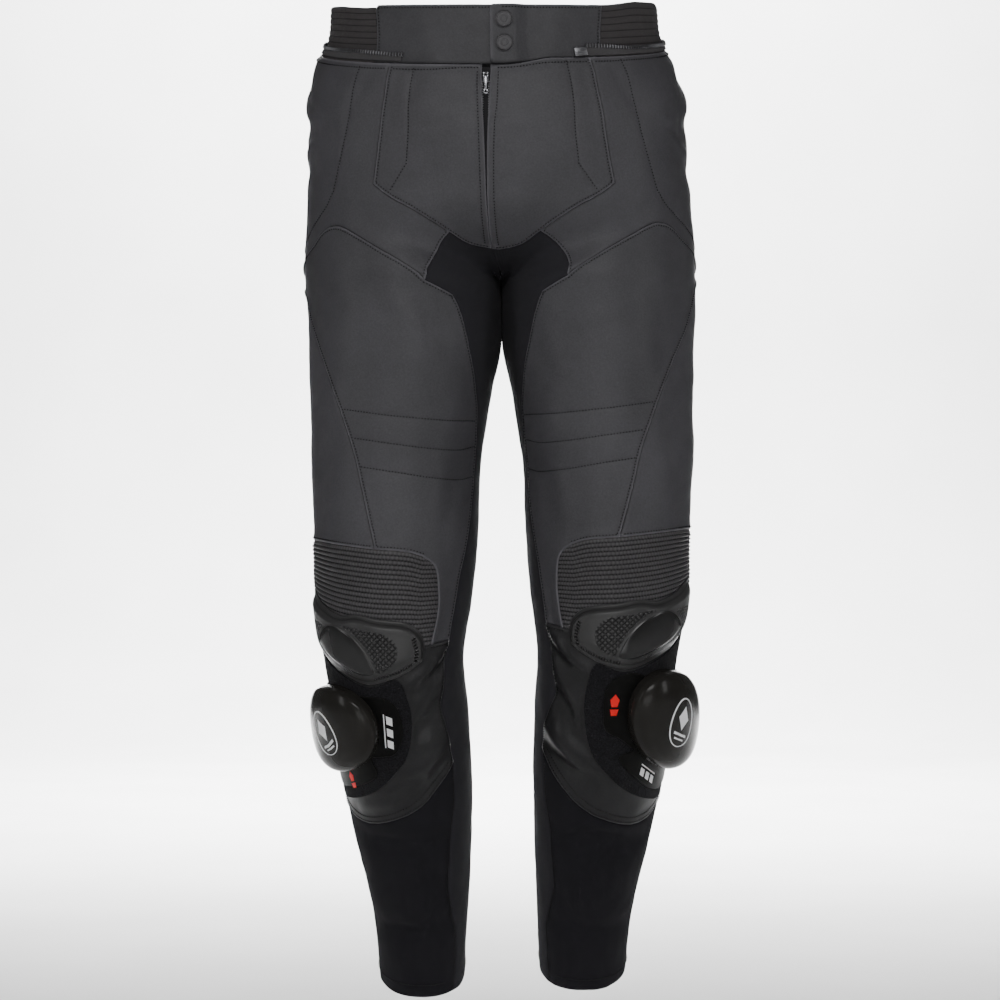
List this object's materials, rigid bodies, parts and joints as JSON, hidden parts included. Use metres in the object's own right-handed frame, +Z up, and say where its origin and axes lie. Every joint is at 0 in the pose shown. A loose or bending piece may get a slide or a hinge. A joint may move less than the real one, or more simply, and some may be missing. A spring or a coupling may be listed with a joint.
{
  "type": "motorcycle trousers",
  "caption": "Leather race trousers in worn, hollow form, with stretch insets, ribbed knees, hard knee cups, clip-on knee sliders, an open fly and a snap-fastened waistband.",
  "frame": {"origin": "the middle of the waist opening, half way down the waistband at the sides", "axes": "+Z up towards the waist rim, +X towards the wearer's left, the front faces -Y"},
  "size_m": [0.3894, 0.2867, 1.0039],
  "materials": {
    "leather_front": "smooth full-grain leather, satin, dark grey",
    "leather_side": "smooth full-grain leather, satin, near black",
    "leather_ribs": "leather gathered over elastic in ribs, satin",
    "stretch_cloth": "matt woven stretch cloth, black",
    "ribbed_elastic": "ribbed elastic webbing, matt black",
    "loop_pile": "looped pile of a hook-and-loop fastener, matt",
    "moulded_rubber": "moulded soft shell, satin dark grey",
    "slider_plastic": "moulded wear plastic, glossy black",
    "dark_metal": "darkened metal, bright where rubbed"
  },
  "bodies": {
    "trousers": {"front_yoke_left": "leather_front", "front_yoke_right": "leather_front", "hip_panel_left": "leather_side", "hip_panel_right": "leather_side", "thigh_front_left": "leather_front", "thigh_front_right": "leather_front", "thigh_side_left": "leather_side", "thigh_side_right": "leather_side", "inner_leg_left": "stretch_cloth", "inner_leg_right": "stretch_cloth", "knee_ribs_left": "leather_ribs", "knee_ribs_right": "leather_ribs", "knee_lower_left": "leather_side", "knee_lower_right": "leather_side", "shin_left": "stretch_cloth", "shin_right": "stretch_cloth", "back_leg_left": "leather_side", "back_leg_right": "leather_side", "calf_left": "stretch_cloth", "calf_right": "stretch_cloth", "knee_cup_left": "moulded_rubber", "knee_cup_right": "moulded_rubber", "loop_patch_left": "loop_pile", "loop_patch_right": "loop_pile", "slider_base_left": "loop_pile", "slider_base_right": "loop_pile", "knee_slider_left": "slider_plastic", "knee_slider_right": "slider_plastic", "waist_elastic_left": "ribbed_elastic", "waist_elastic_right": "ribbed_elastic", "waistband_front_left": "leather_front", "waistband_front_right": "leather_front", "waistband_back": "leather_side", "waist_zip": "dark_metal", "waist_zip_box": "dark_metal", "fly_zip": "stretch_cloth", "fly_slider": "dark_metal", "snap_upper": "dark_metal", "snap_lower": "dark_metal"},
    "fly_pull": {"fly_pull": "dark_metal"}
  },
  "joints": [
    {"name": "fly_pull_swing", "type": "hinge", "parent": "trousers", "child": "fly_pull", "pos_m": [-0.01529, -0.11495, -0.0547], "axis": [-1, 0, 0], "range_deg": [0, 140]}
  ]
}
